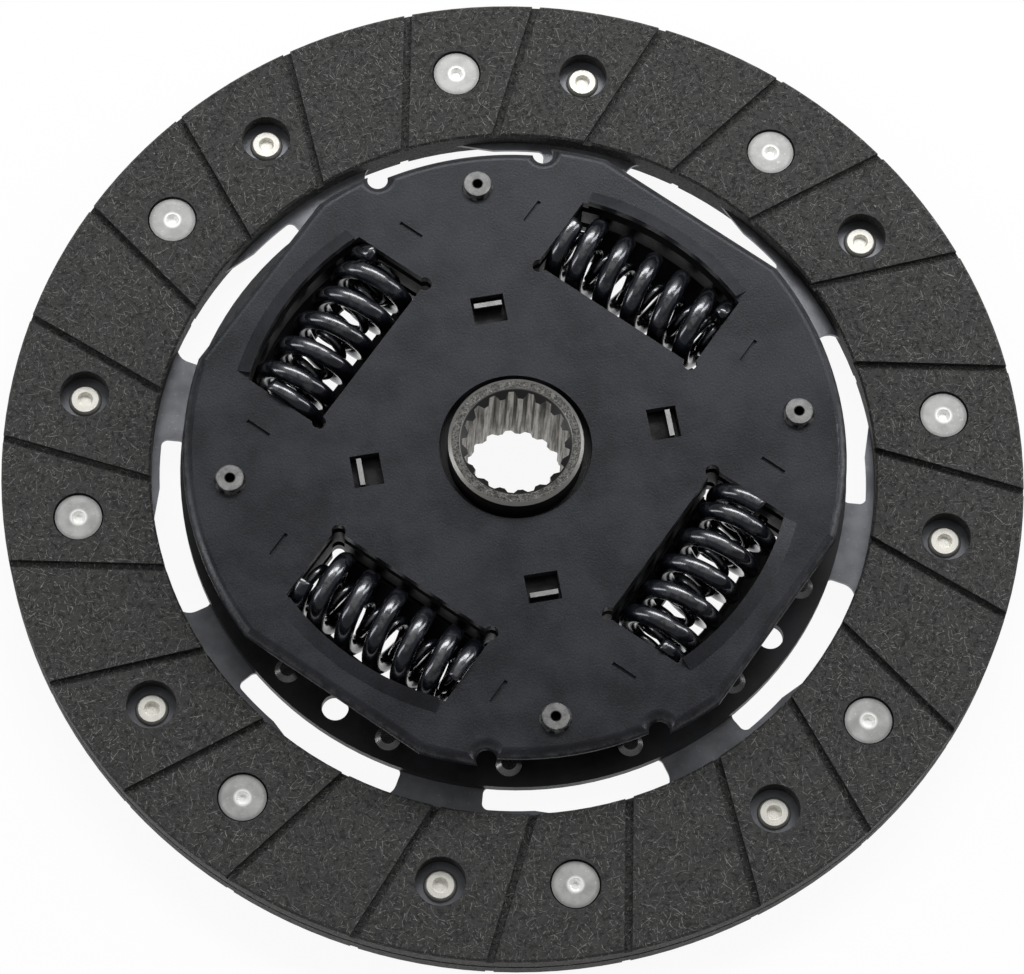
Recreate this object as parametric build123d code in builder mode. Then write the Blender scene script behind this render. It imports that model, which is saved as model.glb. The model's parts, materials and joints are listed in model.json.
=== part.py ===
"""Dry clutch disc, 190 mm, with a four-spring torsion damper and a 17-tooth hub.

Frame: the shaft axis is +Z and passes through the origin, which lies on the mid
plane of the cushion segments, halfway between the two friction faces.  +Z points
to the pressure plate side.  Angles are counter-clockwise from +X.  Millimetres.
"""

from build123d import *
import math
import os

os.makedirs("parts", exist_ok=True)

# ---------------------------------------------------------------- dimensions

# Friction facings
facing_outer_radius = 95.0
facing_thickness = 3.5
facing_edge_chamfer = 0.4
facing_bore_step = 0.6      # the rear facing's bore is wider by this
groove_count = 24
groove_width = 1.5
groove_depth = 1.1
groove_offset = 22.0        # distance at which a groove's centre line misses the axis
groove_angle = -11.3        # direction of the first groove

# Rivets that hold the facings
facing_rivet_count = 8
front_rivet_angle = -2.5
rear_rivet_angle = -19.7
facing_rivet_shank_radius = 2.4
facing_rivet_head_radius = 4.35
facing_rivet_head_depth = 1.2
facing_rivet_recess_depth = 0.45    # the head lies this far below the friction face
facing_rivet_dimple_radius = 1.25
facing_rivet_dimple_floor_radius = 0.65
facing_rivet_dimple_depth = 0.9
facing_rivet_tail_radius = 3.1
facing_rivet_tail_rim_radius = 2.5
facing_rivet_tail_mouth_radius = 1.45
facing_rivet_tail_floor_radius = 1.1
facing_rivet_tail_depth = 0.9
rivet_head_clearance = 0.3  # around a head in its counterbore
tail_hole_clearance = 1.5   # around a tail in the facing it is seen through

# Cushion segments
segment_count = 8
segment_thickness = 0.7
first_leg_angle = 22.5
leg_half_angle = 7.1
segment_base_depth = 6.9
segment_base_half_angle = 15.2
segment_edge_margin = 1.4   # the wings end this far inside the facings' edge
segment_wing_end_angle = 28.4
segment_wing_start_angle = -16.0
segment_band_width = 1.5    # part of the wing that shows inside the facings
segment_hidden_overlap = 0.5
segment_step_start_angle = 15.5
segment_step_end_angle = 22.0
segment_corner_radius = 1.2
segment_heel_radius = 3.0
segment_rivet_spread = 11.25
segment_rivet_shank_radius = 1.6
segment_rivet_head_radius = 2.35
segment_rivet_crown_radius = 1.4
segment_rivet_head_depth = 0.95

# Torsion springs
spring_count = 4
first_spring_angle = 45.0
spring_circle_radius = 40.7 # distance from the shaft axis to a spring's axis
spring_outer_radius = 7.5
spring_wire_radius = 1.75
spring_end_play = 0.25
spring_open_turns = 4
spring_end_pitch = 4.05
spring_grinding = 0.85      # depth by which the ends of the wire are ground flat
spring_tip_turn = -70.0     # where the wire ends lie around the spring's axis
inner_spring_room = 0.35    # radial room between an outer and an inner spring
inner_spring_wire_radius = 0.95
inner_spring_open_turns = 8
inner_spring_end_pitch = 2.1
inner_spring_grinding = 0.45

# Windows that hold the springs
window_half_length = 17.6
window_inner_room = 0.9     # between a spring and the straight edge of its window
window_outer_room = 2.7     # between a spring and the round edge of its window
window_relief_radius = 1.3
lip_width = 2.6
lip_overlap = 1.0           # depth to which a lip reaches into its plate or its window
lip_end_angle = 1.2         # left straight at each end of a window's round edge
retainer_lip_rise = 1.1
drive_disc_lip_rise = 1.7
inner_lip_reach = 4.8       # width of the drive disc's lips on the straight edges
inner_lip_drop = 3.2
inner_lip_half_length = 15.6

# Drive disc and retainer plate
plate_thickness = 2.0
drive_disc_margin = 11.1    # plate left outside the windows
slot_width = 5.4            # free ring between the drive disc and the facings
drive_disc_edge_step = 0.4  # the segments' bases end this far inside the drive disc
segment_rivet_margin = 4.4
sight_hole_margin = 4.7
sight_hole_radius = 2.45
retainer_margin = 0.8       # the retainer plate ends this far inside the drive disc
spring_sector_depth = 3.1   # depth of the flats outside the springs
pin_relief_count = 2
first_pin_relief_angle = 90.0
pin_relief_depth = 1.6
pin_relief_half_angle = 15.3
relief_notch_depth = 1.2
relief_notch_radius = 1.9
retainer_edge_round = 1.8
lug_window_depth = 5.5
lug_window_width = 6.2
lug_window_offset = 1.15
crease_length = 5.0
crease_width = 0.7
crease_depth = 0.5
crease_distance = 6.8       # from the end of a window to the crease beside it

# Stop pins that join the two plates
stop_pin_margin = 1.9       # the pins' circle lies this far outside the windows
stop_pin_angle = -2.5
stop_pin_radius = 3.75
stop_pin_tenon_radius = 2.3
stop_pin_head_radius = 2.95
stop_pin_crown_radius = 2.5
stop_pin_head_depth = 1.3
stop_pin_eye_radius = 0.85
stop_pin_eye_depth = 3.0
rivet_clearance = 0.05      # radial gap of every shank in its hole

# Hub and its flange
spline_teeth = 17
spline_major_radius = 9.95
spline_depth = 0.95
spline_space_inner_width = 2.3
spline_space_outer_width = 1.1
bore_chamfer = 0.5          # beyond the spline's major radius
hub_wall = 2.55
hub_length = 20.7
hub_bottom = -4.6
hub_edge_chamfer = 0.6
flange_thickness = 5.0
flange_margin = 2.2         # the flange ends this far outside the pins' circle
flange_notch_mouth = 5.0    # the notches are cut this far past the flange's edge
collar_wall = 3.5
serration_count = 24
serration_height = 1.3
serration_width = 1.9
serration_clearance = 0.05
drive_travel = 10.0
coast_travel = 5.0
stop_clearance = 0.3        # left between pin and flange at the end of travel
notch_corner_radius = 3.0

# Friction gear of the damper
retainer_bore_clearance = 1.6
bush_clearance = 0.08
bush_press = 0.05
bush_wall = 4.1
bush_collar_width = 2.0
bush_foot = 0.7
ring_room = 0.6             # between the bush's collar and the rear friction ring
friction_ring_width = 9.8   # of the rear ring; the front ring ends at the same radius
rear_ring_thickness = 2.0
front_ring_thickness = 0.7
front_ring_clearance = 1.1
thrust_ring_thickness = 0.7
thrust_ring_lap = 0.6       # the thrust ring reaches this far inside the front ring
thrust_ring_margin = 1.9
lug_width = 5.2
lug_thickness = 0.9
lug_margin = 3.4
lug_below_face = 0.2
disc_spring_thickness = 0.35
disc_spring_gap = 0.6       # axial room in which the disc spring is held
disc_spring_inner_room = 0.4
disc_spring_width = 6.8

# ------------------------------------------- radii that follow from the sizes

# Damper, from the springs outwards
window_inner_flat = spring_circle_radius - spring_outer_radius - window_inner_room
window_outer_radius = spring_circle_radius + spring_outer_radius + window_outer_room
window_end_angle = math.degrees(math.asin(window_half_length / window_outer_radius))
lip_half_angle = window_end_angle - lip_end_angle
stop_pin_circle_radius = window_outer_radius + stop_pin_margin
flange_radius = stop_pin_circle_radius + flange_margin
drive_disc_radius = window_outer_radius + drive_disc_margin
sight_hole_circle_radius = drive_disc_radius - sight_hole_margin
segment_rivet_circle_radius = drive_disc_radius - segment_rivet_margin
shoulder_radius = drive_disc_radius - retainer_margin
spring_sector_flat = shoulder_radius - spring_sector_depth
pin_relief_radius = shoulder_radius - pin_relief_depth
relief_notch_circle_radius = shoulder_radius - relief_notch_depth
inner_spring_outer_radius = spring_outer_radius - 2 * spring_wire_radius - inner_spring_room
spring_half_length = window_half_length - spring_end_play

# Facings and segments
facing_inner_radius = drive_disc_radius + slot_width
facing_rivet_circle_radius = (facing_inner_radius + facing_outer_radius) / 2
clearance_hole_radius = facing_rivet_tail_radius + tail_hole_clearance
segment_base_outer_radius = drive_disc_radius - drive_disc_edge_step
segment_base_inner_radius = segment_base_outer_radius - segment_base_depth
segment_wing_radius = facing_outer_radius - segment_edge_margin
segment_band_radius = facing_inner_radius - segment_band_width
segment_hidden_radius = facing_inner_radius + segment_hidden_overlap

# Hub and friction gear, from the spline outwards
spline_minor_radius = spline_major_radius - spline_depth
bore_chamfer_radius = spline_major_radius + bore_chamfer
hub_radius = spline_major_radius + hub_wall
serration_root_radius = hub_radius + collar_wall
retainer_bore_radius = hub_radius + retainer_bore_clearance
drive_disc_bore_radius = hub_radius + bush_wall
bush_collar_radius = drive_disc_bore_radius + bush_collar_width
rear_ring_inner_radius = bush_collar_radius + ring_room
friction_ring_outer_radius = rear_ring_inner_radius + friction_ring_width
front_ring_inner_radius = serration_root_radius + serration_height + front_ring_clearance
thrust_ring_inner_radius = front_ring_inner_radius - thrust_ring_lap
thrust_ring_outer_radius = window_inner_flat - thrust_ring_margin
lug_circle_radius = window_inner_flat - lug_margin
lug_window_circle_radius = lug_circle_radius - lug_window_offset
disc_spring_inner_radius = thrust_ring_inner_radius + disc_spring_inner_room
disc_spring_outer_radius = disc_spring_inner_radius + disc_spring_width

# ------------------------------------------------------- levels along the axis

segment_top = segment_thickness / 2
segment_bottom = -segment_top
front_face = segment_top + facing_thickness
rear_face = -front_face
drive_disc_bottom = segment_top
drive_disc_top = drive_disc_bottom + plate_thickness
flange_bottom = drive_disc_top + rear_ring_thickness
flange_top = flange_bottom + flange_thickness
thrust_ring_bottom = flange_top + front_ring_thickness
thrust_ring_top = thrust_ring_bottom + thrust_ring_thickness
retainer_bottom = thrust_ring_top + disc_spring_gap
retainer_top = retainer_bottom + plate_thickness
spring_level = (drive_disc_bottom + retainer_top) / 2
hub_top = hub_bottom + hub_length


# ------------------------------------------------------------ shared geometry

def polar(radius, angle):
    """Point at a radius and an angle in degrees."""
    return (radius * math.cos(math.radians(angle)), radius * math.sin(math.radians(angle)))


def radial_plane(angle):
    """Plane through the shaft axis: local x points outwards, local y is +Z."""
    outwards = polar(1, angle)
    return Plane(origin=(0, 0, 0), x_dir=(*outwards, 0), z_dir=(outwards[1], -outwards[0], 0))


def ring_sector(inner_radius, outer_radius, half_angle, corner_radius=0):
    """Piece of a ring, symmetric about +X; the two inner corners can be rounded."""
    with BuildSketch() as sector:
        with BuildLine():
            inner = CenterArc((0, 0), inner_radius, -half_angle, 2 * half_angle)
            outer = CenterArc((0, 0), outer_radius, -half_angle, 2 * half_angle)
            Line(inner @ 0, outer @ 0)
            Line(inner @ 1, outer @ 1)
        make_face()
        if corner_radius:
            inner_corners = sector.vertices().sort_by_distance((0, 0))[:2]
            fillet(inner_corners, radius=corner_radius)
    return sector.sketch


def spring_window():
    """Window for one spring on +X: straight inner edge, parallel ends, round outer edge."""
    reach = window_outer_radius - window_inner_flat
    with BuildSketch() as window:
        Circle(window_outer_radius)
        with Locations((window_inner_flat + reach / 2, 0)):
            Rectangle(reach, 2 * window_half_length, mode=Mode.INTERSECT)
        relief_centre = window_half_length - window_relief_radius / 2
        with Locations((window_inner_flat, -relief_centre), (window_inner_flat, relief_centre)):
            Circle(window_relief_radius)
    return window.sketch


def serrated_disc(clearance):
    """Toothed outline shared by the hub collar and, with a clearance, the flange bore."""
    with BuildSketch() as outline:
        Circle(serration_root_radius + clearance)
        with PolarLocations(serration_root_radius, serration_count):
            Rectangle(2 * (serration_height + clearance), serration_width + 2 * clearance)
    return outline.sketch


window_shape = spring_window()
lip_foot_radius = window_outer_radius + lip_width
lip_slot = ring_sector(window_outer_radius - lip_overlap, lip_foot_radius, lip_half_angle)


def window_lips(face_level, thickness, rise):
    """Bent lips along the outer edges of the windows, in a plate that ends at face_level."""
    with BuildPart() as lips:
        for number in range(spring_count):
            start_angle = first_spring_angle + number * 360 / spring_count - lip_half_angle
            with BuildSketch(radial_plane(start_angle)):
                Polygon(
                    (lip_foot_radius, face_level - thickness),
                    (lip_foot_radius, face_level),
                    (window_outer_radius, face_level + rise),
                    (window_outer_radius, face_level - thickness + rise),
                    align=None,
                )
            revolve(axis=Axis.Z, revolution_arc=2 * lip_half_angle)
    return lips.part


# ----------------------------------------------------------- friction facings

def facing(face_level, inward, bore_radius, own_angle, other_angle):
    """Grooved friction ring whose friction face is at face_level; inward is its depth side."""
    back_level = face_level + inward * facing_thickness
    head_depth = facing_rivet_recess_depth + facing_rivet_head_depth
    with BuildPart() as ring:
        with BuildSketch(Plane.XY.offset(min(face_level, back_level))):
            Circle(facing_outer_radius)
            Circle(bore_radius, mode=Mode.SUBTRACT)
        extrude(amount=facing_thickness)
        friction_side = ring.faces().filter_by(Plane.XY).sort_by(Axis.Z)[-1 if inward < 0 else 0]
        chamfer(friction_side.edges(), length=facing_edge_chamfer)
        with BuildSketch(Plane.XY.offset(face_level)):
            with PolarLocations(0, groove_count, start_angle=groove_angle):
                with Locations((facing_inner_radius / 2, groove_offset)):
                    Rectangle(
                        facing_outer_radius, groove_width, align=(Align.MIN, Align.CENTER)
                    )
        extrude(amount=inward * groove_depth, mode=Mode.SUBTRACT)
        with BuildSketch(Plane.XY.offset(face_level)):
            with PolarLocations(
                facing_rivet_circle_radius, facing_rivet_count, start_angle=own_angle
            ):
                Circle(facing_rivet_head_radius + rivet_head_clearance)
        extrude(amount=inward * head_depth, mode=Mode.SUBTRACT)
        with BuildSketch(Plane.XY.offset(face_level)):
            with PolarLocations(
                facing_rivet_circle_radius, facing_rivet_count, start_angle=own_angle
            ):
                Circle(facing_rivet_shank_radius + rivet_clearance)
            with PolarLocations(
                facing_rivet_circle_radius, facing_rivet_count, start_angle=other_angle
            ):
                Circle(clearance_hole_radius)
        extrude(amount=inward * facing_thickness, mode=Mode.SUBTRACT)
    return ring


front_facing = facing(
    front_face, -1, facing_inner_radius, front_rivet_angle, rear_rivet_angle
)
front_facing.part.label = "front_facing"
export_step(front_facing.part, "parts/front_facing.step")

rear_facing = facing(
    rear_face, 1, facing_inner_radius + facing_bore_step, rear_rivet_angle, front_rivet_angle
)
rear_facing.part.label = "rear_facing"
export_step(rear_facing.part, "parts/rear_facing.step")


# -------------------------------------------------------------- facing rivets

def facing_rivets(face_level, inward, start_angle):
    """Eight semi-tubular rivets: dimpled head in one facing, rolled tail on the segments."""
    head_top = facing_rivet_recess_depth
    head_seat = head_top + facing_rivet_head_depth
    tail_seat = facing_thickness + segment_thickness
    tail_end = tail_seat + facing_rivet_tail_depth
    dimple_floor = head_top + facing_rivet_dimple_depth
    with BuildPart() as rivet:
        with BuildSketch(Plane.XZ):
            with BuildLine():
                Polyline(
                    (0, -dimple_floor),
                    (facing_rivet_dimple_floor_radius, -dimple_floor),
                    (facing_rivet_dimple_radius, -head_top),
                    (facing_rivet_head_radius, -head_top),
                    (facing_rivet_head_radius, -head_seat),
                    (facing_rivet_shank_radius, -head_seat),
                    (facing_rivet_shank_radius, -tail_seat),
                    (facing_rivet_tail_radius, -tail_seat),
                    (facing_rivet_tail_rim_radius, -tail_end),
                    (facing_rivet_tail_mouth_radius, -tail_end),
                    (facing_rivet_tail_floor_radius, -tail_seat),
                    (0, -tail_seat),
                    close=True,
                )
            make_face()
        revolve(axis=Axis.Z)
        if inward > 0:
            mirror(about=Plane.XY, mode=Mode.REPLACE)
    with BuildPart() as group:
        with PolarLocations(
            facing_rivet_circle_radius, facing_rivet_count, start_angle=start_angle
        ):
            with Locations((0, 0, face_level)):
                add(rivet.part)
    return group


front_facing_rivets = facing_rivets(front_face, -1, front_rivet_angle)
front_facing_rivets.part.label = "front_facing_rivets"
export_step(front_facing_rivets.part, "parts/front_facing_rivets.step")

rear_facing_rivets = facing_rivets(rear_face, 1, rear_rivet_angle)
rear_facing_rivets.part.label = "rear_facing_rivets"
export_step(rear_facing_rivets.part, "parts/rear_facing_rivets.step")


# ----------------------------------------------------------- cushion segments

def segment_edge(radius, start_angle, end_angle):
    """Arc of the segment outline about the shaft axis."""
    return CenterArc((0, 0), radius, start_angle, end_angle - start_angle)


segment_angle = 360 / segment_count
front_rivet_place = polar(
    facing_rivet_circle_radius, (front_rivet_angle - first_leg_angle) % segment_angle
)
rear_rivet_place = polar(
    facing_rivet_circle_radius, (rear_rivet_angle - first_leg_angle) % segment_angle
)

for number in range(segment_count):
    leg_angle = first_leg_angle + number * segment_angle
    leg_plane = Plane.XY.offset(segment_bottom).rotated((0, 0, leg_angle))
    with BuildPart() as cushion_segment:
        with BuildSketch(leg_plane) as outline:
            with BuildLine():
                base = segment_edge(
                    segment_base_inner_radius, -segment_base_half_angle, segment_base_half_angle
                )
                base_left = segment_edge(
                    segment_base_outer_radius, segment_base_half_angle, leg_half_angle
                )
                Line(base @ 1, base_left @ 0)
                band = segment_edge(segment_band_radius, leg_half_angle, segment_step_start_angle)
                Line(base_left @ 1, band @ 0)
                hidden = segment_edge(
                    segment_hidden_radius, segment_step_end_angle, segment_wing_end_angle
                )
                Line(band @ 1, hidden @ 0)
                rim = segment_edge(
                    segment_wing_radius, segment_wing_end_angle, segment_wing_start_angle
                )
                Line(hidden @ 1, rim @ 0)
                heel = segment_edge(
                    segment_hidden_radius, segment_wing_start_angle, -leg_half_angle
                )
                Line(rim @ 1, heel @ 0)
                base_right = segment_edge(
                    segment_base_outer_radius, -leg_half_angle, -segment_base_half_angle
                )
                Line(heel @ 1, base_right @ 0)
                Line(base_right @ 1, base @ 0)
            make_face()
            by_heel = outline.vertices().sort_by_distance(heel @ 1)
            fillet(by_heel[1:], radius=segment_corner_radius)
            heel_corner = outline.vertices().sort_by_distance(heel @ 1)[0]
            fillet(heel_corner, radius=segment_heel_radius)
            with Locations(front_rivet_place, rear_rivet_place):
                Circle(facing_rivet_shank_radius + rivet_clearance, mode=Mode.SUBTRACT)
            with Locations(
                polar(segment_rivet_circle_radius, -segment_rivet_spread),
                polar(segment_rivet_circle_radius, segment_rivet_spread),
            ):
                Circle(segment_rivet_shank_radius + rivet_clearance, mode=Mode.SUBTRACT)
        extrude(amount=segment_thickness)
    cushion_segment.part.label = f"cushion_segment_{number + 1}"
    export_step(cushion_segment.part, f"parts/cushion_segment_{number + 1}.step")

# Solid rivets that hold the segments to the drive disc
with BuildPart() as segment_rivet:
    with BuildSketch(Plane.XZ):
        with BuildLine():
            Polyline(
                (0, drive_disc_top + segment_rivet_head_depth),
                (segment_rivet_crown_radius, drive_disc_top + segment_rivet_head_depth),
                (segment_rivet_head_radius, drive_disc_top),
                (segment_rivet_shank_radius, drive_disc_top),
                (segment_rivet_shank_radius, segment_bottom),
                (segment_rivet_head_radius, segment_bottom),
                (segment_rivet_crown_radius, segment_bottom - segment_rivet_head_depth),
                (0, segment_bottom - segment_rivet_head_depth),
                close=True,
            )
        make_face()
    revolve(axis=Axis.Z)

with BuildPart() as segment_rivets:
    for side in (-segment_rivet_spread, segment_rivet_spread):
        with PolarLocations(
            segment_rivet_circle_radius, segment_count, start_angle=first_leg_angle + side
        ):
            add(segment_rivet.part)
segment_rivets.part.label = "segment_rivets"
export_step(segment_rivets.part, "parts/segment_rivets.step")

# ----------------------------------------------------------------- drive disc

drive_disc_lips = window_lips(drive_disc_bottom, -plate_thickness, -drive_disc_lip_rise)
inner_lip_foot = window_inner_flat - lip_overlap
inner_lip_edge = window_inner_flat + inner_lip_reach

with BuildPart() as drive_disc:
    with BuildSketch(Plane.XY.offset(drive_disc_bottom)):
        Circle(drive_disc_radius)
        Circle(drive_disc_bore_radius, mode=Mode.SUBTRACT)
        with PolarLocations(0, spring_count, start_angle=first_spring_angle):
            add(window_shape, mode=Mode.SUBTRACT)
            add(lip_slot, mode=Mode.SUBTRACT)
        with PolarLocations(
            sight_hole_circle_radius, spring_count, start_angle=first_spring_angle
        ):
            Circle(sight_hole_radius, mode=Mode.SUBTRACT)
        with PolarLocations(stop_pin_circle_radius, spring_count, start_angle=stop_pin_angle):
            Circle(stop_pin_tenon_radius + rivet_clearance, mode=Mode.SUBTRACT)
        for side in (-segment_rivet_spread, segment_rivet_spread):
            with PolarLocations(
                segment_rivet_circle_radius, segment_count, start_angle=first_leg_angle + side
            ):
                Circle(segment_rivet_shank_radius + rivet_clearance, mode=Mode.SUBTRACT)
    extrude(amount=plate_thickness)
    add(drive_disc_lips)
    for number in range(spring_count):
        lip_middle = radial_plane(first_spring_angle + number * 360 / spring_count)
        with BuildSketch(lip_middle.offset(-inner_lip_half_length)):
            Polygon(
                (inner_lip_foot, drive_disc_bottom),
                (inner_lip_foot, drive_disc_top),
                (inner_lip_edge, drive_disc_top - inner_lip_drop),
                (inner_lip_edge, drive_disc_bottom - inner_lip_drop),
                align=None,
            )
        extrude(amount=2 * inner_lip_half_length)
drive_disc.part.label = "drive_disc"
export_step(drive_disc.part, "parts/drive_disc.step")

# ------------------------------------------------------------- retainer plate

pin_relief = ring_sector(pin_relief_radius, drive_disc_radius, pin_relief_half_angle)
retainer_lips = window_lips(retainer_top, plate_thickness, retainer_lip_rise)
crease_reach = window_half_length + crease_distance

with BuildPart() as retainer_plate:
    with BuildSketch(Plane.XY.offset(retainer_bottom)):
        Circle(shoulder_radius)
        with PolarLocations(0, spring_count, start_angle=first_spring_angle):
            with Locations((spring_sector_flat, 0)):
                Rectangle(
                    shoulder_radius,
                    shoulder_radius,
                    align=(Align.MIN, Align.CENTER),
                    mode=Mode.SUBTRACT,
                )
        with PolarLocations(0, pin_relief_count, start_angle=first_pin_relief_angle):
            add(pin_relief, mode=Mode.SUBTRACT)
        for side in (-pin_relief_half_angle, pin_relief_half_angle):
            with PolarLocations(
                relief_notch_circle_radius,
                pin_relief_count,
                start_angle=first_pin_relief_angle + side,
            ):
                Circle(relief_notch_radius, mode=Mode.SUBTRACT)
    extrude(amount=plate_thickness)
    rim = retainer_plate.faces().sort_by(Axis.Z)[-1].edges()
    fillet(rim, radius=retainer_edge_round)
    with BuildSketch(Plane.XY.offset(retainer_bottom)):
        Circle(retainer_bore_radius)
        with PolarLocations(0, spring_count, start_angle=first_spring_angle):
            add(window_shape)
            add(lip_slot)
        with PolarLocations(lug_window_circle_radius, spring_count):
            Rectangle(lug_window_depth, lug_window_width)
        with PolarLocations(stop_pin_circle_radius, spring_count, start_angle=stop_pin_angle):
            Circle(stop_pin_tenon_radius + rivet_clearance)
    extrude(amount=plate_thickness, mode=Mode.SUBTRACT)
    with BuildSketch(Plane.XY.offset(retainer_top)):
        with PolarLocations(0, spring_count, start_angle=first_spring_angle):
            with Locations(
                (spring_circle_radius, -crease_reach), (spring_circle_radius, crease_reach)
            ):
                Rectangle(crease_length, crease_width)
    extrude(amount=-crease_depth, mode=Mode.SUBTRACT)
    add(retainer_lips)
retainer_plate.part.label = "retainer_plate"
export_step(retainer_plate.part, "parts/retainer_plate.step")

# ------------------------------------------------------------------ stop pins

for number in range(spring_count):
    pin_angle = stop_pin_angle + number * 360 / spring_count
    pin_axis = Plane(origin=(*polar(stop_pin_circle_radius, pin_angle), 0))
    pin_section = Plane(origin=pin_axis.origin, x_dir=(1, 0, 0), z_dir=(0, -1, 0))
    with BuildPart() as stop_pin:
        with BuildSketch(pin_section):
            with BuildLine():
                Polyline(
                    (0, drive_disc_bottom - stop_pin_head_depth),
                    (stop_pin_crown_radius, drive_disc_bottom - stop_pin_head_depth),
                    (stop_pin_head_radius, drive_disc_bottom),
                    (stop_pin_tenon_radius, drive_disc_bottom),
                    (stop_pin_tenon_radius, drive_disc_top),
                    (stop_pin_radius, drive_disc_top),
                    (stop_pin_radius, retainer_bottom),
                    (stop_pin_tenon_radius, retainer_bottom),
                    (stop_pin_tenon_radius, retainer_top),
                    (stop_pin_head_radius, retainer_top),
                    (stop_pin_crown_radius, retainer_top + stop_pin_head_depth),
                    (0, retainer_top + stop_pin_head_depth),
                    close=True,
                )
            make_face()
        revolve(axis=Axis(pin_axis.origin, (0, 0, 1)))
        with Locations(pin_axis.offset(retainer_top + stop_pin_head_depth)):
            Hole(stop_pin_eye_radius, depth=stop_pin_eye_depth)
    stop_pin.part.label = f"stop_pin_{number + 1}"
    export_step(stop_pin.part, f"parts/stop_pin_{number + 1}.step")

# ------------------------------------------------------------------------ hub

with BuildPart() as hub:
    with BuildSketch(Plane.XZ):
        with BuildLine():
            bore_chamfer_depth = bore_chamfer_radius - spline_minor_radius
            Polyline(
                (bore_chamfer_radius, hub_bottom),
                (hub_radius - hub_edge_chamfer, hub_bottom),
                (hub_radius, hub_bottom + hub_edge_chamfer),
                (hub_radius, hub_top - hub_edge_chamfer),
                (hub_radius - hub_edge_chamfer, hub_top),
                (bore_chamfer_radius, hub_top),
                (spline_minor_radius, hub_top - bore_chamfer_depth),
                (spline_minor_radius, hub_bottom + bore_chamfer_depth),
                close=True,
            )
        make_face()
    revolve(axis=Axis.Z)
    collar_outline = serrated_disc(0)
    with BuildSketch(Plane.XY.offset(flange_bottom)):
        add(collar_outline)
        Circle(hub_radius - hub_edge_chamfer, mode=Mode.SUBTRACT)
    extrude(amount=flange_thickness)
    with BuildSketch(Plane.XY.offset(hub_bottom)):
        with PolarLocations(0, spline_teeth):
            Polygon(
                (spline_minor_radius / 2, -spline_space_inner_width / 2),
                (spline_minor_radius, -spline_space_inner_width / 2),
                (spline_major_radius, -spline_space_outer_width / 2),
                (spline_major_radius, spline_space_outer_width / 2),
                (spline_minor_radius, spline_space_inner_width / 2),
                (spline_minor_radius / 2, spline_space_inner_width / 2),
                align=None,
            )
    extrude(amount=hub_length, mode=Mode.SUBTRACT)
hub.part.label = "hub"
export_step(hub.part, "parts/hub.step")

# ----------------------------------------------------------------- hub flange

notch_reach = stop_pin_radius + stop_clearance
notch_half_angle = (drive_travel + coast_travel) / 2 + math.degrees(
    math.asin(notch_reach / stop_pin_circle_radius)
)
pin_notch = ring_sector(
    stop_pin_circle_radius - notch_reach,
    flange_radius + flange_notch_mouth,
    notch_half_angle,
    notch_corner_radius,
)
flange_bore = serrated_disc(serration_clearance)

with BuildPart() as hub_flange:
    with BuildSketch(Plane.XY.offset(flange_bottom)):
        Circle(flange_radius)
        add(flange_bore, mode=Mode.SUBTRACT)
        with PolarLocations(0, spring_count, start_angle=first_spring_angle):
            add(window_shape, mode=Mode.SUBTRACT)
        with PolarLocations(0, spring_count):
            add(pin_notch, mode=Mode.SUBTRACT)
    extrude(amount=flange_thickness)
hub_flange.part.label = "hub_flange"
export_step(hub_flange.part, "parts/hub_flange.step")

# ------------------------------------------------------------ torsion springs

def coil(outer_radius, wire_radius, open_turns, end_pitch, grinding, lefthand):
    """Spring on the Z axis: open turns between two closed turns with ground ends."""
    coil_radius = outer_radius - wire_radius
    open_half_span = spring_half_length - wire_radius + grinding - end_pitch
    open_pitch = 2 * open_half_span / open_turns
    with BuildPart() as wire:
        for turn_start, turn_pitch, turns in (
            (-open_half_span - end_pitch, end_pitch, 1),
            (-open_half_span, open_pitch, open_turns),
            (open_half_span, end_pitch, 1),
        ):
            with BuildLine():
                Helix(
                    turn_pitch,
                    turns * turn_pitch,
                    coil_radius,
                    center=(0, 0, turn_start),
                    lefthand=lefthand,
                )
            with BuildSketch(Plane.XZ):
                with Locations((coil_radius, turn_start)):
                    Circle(wire_radius)
            sweep(is_frenet=True)
        for side in (-1, 1):
            with BuildSketch(Plane.XY.offset(side * spring_half_length)):
                Circle(2 * outer_radius)
            extrude(amount=side * 2 * wire_radius, mode=Mode.SUBTRACT)
    return wire.part


outer_coil = coil(
    spring_outer_radius,
    spring_wire_radius,
    spring_open_turns,
    spring_end_pitch,
    spring_grinding,
    False,
)
inner_coil = coil(
    inner_spring_outer_radius,
    inner_spring_wire_radius,
    inner_spring_open_turns,
    inner_spring_end_pitch,
    inner_spring_grinding,
    True,
)

for number in range(spring_count):
    spring_angle = first_spring_angle + number * 360 / spring_count
    outwards = polar(1, spring_angle)
    spring_seat = Plane(
        origin=(*polar(spring_circle_radius, spring_angle), spring_level),
        x_dir=(*outwards, 0),
        z_dir=(-outwards[1], outwards[0], 0),
    )
    with BuildPart() as torsion_spring:
        with Locations(spring_seat.location):
            with Locations(Location((0, 0, 0), (0, 0, spring_tip_turn))):
                add(outer_coil)
    torsion_spring.part.label = f"torsion_spring_{number + 1}"
    export_step(torsion_spring.part, f"parts/torsion_spring_{number + 1}.step")

    with BuildPart() as inner_spring:
        with Locations(spring_seat.location):
            add(inner_coil)
    inner_spring.part.label = f"inner_spring_{number + 1}"
    export_step(inner_spring.part, f"parts/inner_spring_{number + 1}.step")

# ------------------------------------------------------ friction gear, bearing

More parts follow.
